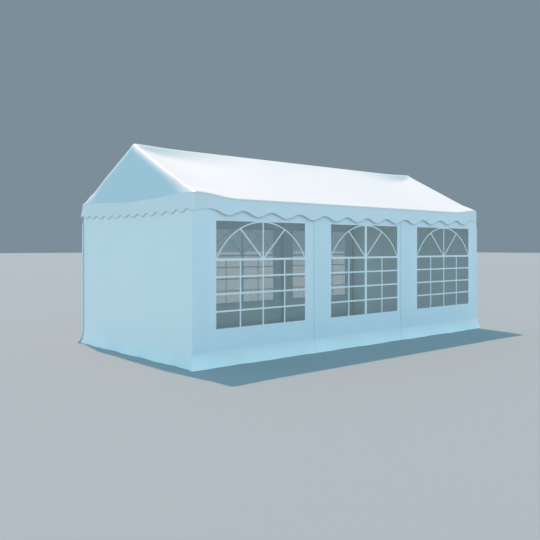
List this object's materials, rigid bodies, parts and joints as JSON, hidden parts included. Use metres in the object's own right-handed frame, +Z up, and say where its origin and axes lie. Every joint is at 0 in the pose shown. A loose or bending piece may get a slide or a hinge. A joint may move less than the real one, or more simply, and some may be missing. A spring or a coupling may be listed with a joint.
{
  "type": "marquee tent",
  "caption": "Long white frame marquee with a gabled roof, scalloped valances, arched clear windows down both long sides and plain closed ends.",
  "frame": {"origin": "on the ground under the middle of the tent, at the level of the foot plates' undersides", "axes": "+X along the ridge from the left end to the right end, +Y across the tent from the front long side to the back one, +Z up"},
  "size_m": [6.212, 3.072, 2.8212],
  "materials": {
    "galvanised_steel": "dull zinc galvanised tube with a faint spangle",
    "roof_sheet": "white coated polyester sheet, satin, with welded seams",
    "wall_sheet": "white coated polyester sheet, satin, with welded hems and strips",
    "window_film": "clear soft film, glossy, with white welded glazing bars"
  },
  "bodies": {
    "root": {"leg_front_1": "galvanised_steel", "leg_front_2": "galvanised_steel", "leg_front_3": "galvanised_steel", "leg_front_4": "galvanised_steel", "rafter_front_1": "galvanised_steel", "rafter_front_2": "galvanised_steel", "rafter_front_3": "galvanised_steel", "rafter_front_4": "galvanised_steel", "eave_rail_front": "galvanised_steel", "leg_back_1": "galvanised_steel", "leg_back_2": "galvanised_steel", "leg_back_3": "galvanised_steel", "leg_back_4": "galvanised_steel", "rafter_back_1": "galvanised_steel", "rafter_back_2": "galvanised_steel", "rafter_back_3": "galvanised_steel", "rafter_back_4": "galvanised_steel", "eave_rail_back": "galvanised_steel", "ridge_rail": "galvanised_steel", "roof_front": "roof_sheet", "roof_back": "roof_sheet", "gable_left": "roof_sheet", "gable_right": "roof_sheet", "valance_front": "roof_sheet", "valance_back": "roof_sheet", "valance_left": "roof_sheet", "valance_right": "roof_sheet", "wall_front_1": "wall_sheet", "wall_front_2": "wall_sheet", "wall_front_3": "wall_sheet", "window_front_1": "window_film", "window_front_2": "window_film", "window_front_3": "window_film", "wall_back_1": "wall_sheet", "wall_back_2": "wall_sheet", "wall_back_3": "wall_sheet", "window_back_1": "window_film", "window_back_2": "window_film", "window_back_3": "window_film", "wall_left": "wall_sheet", "wall_right": "wall_sheet"}
  },
  "joints": []
}
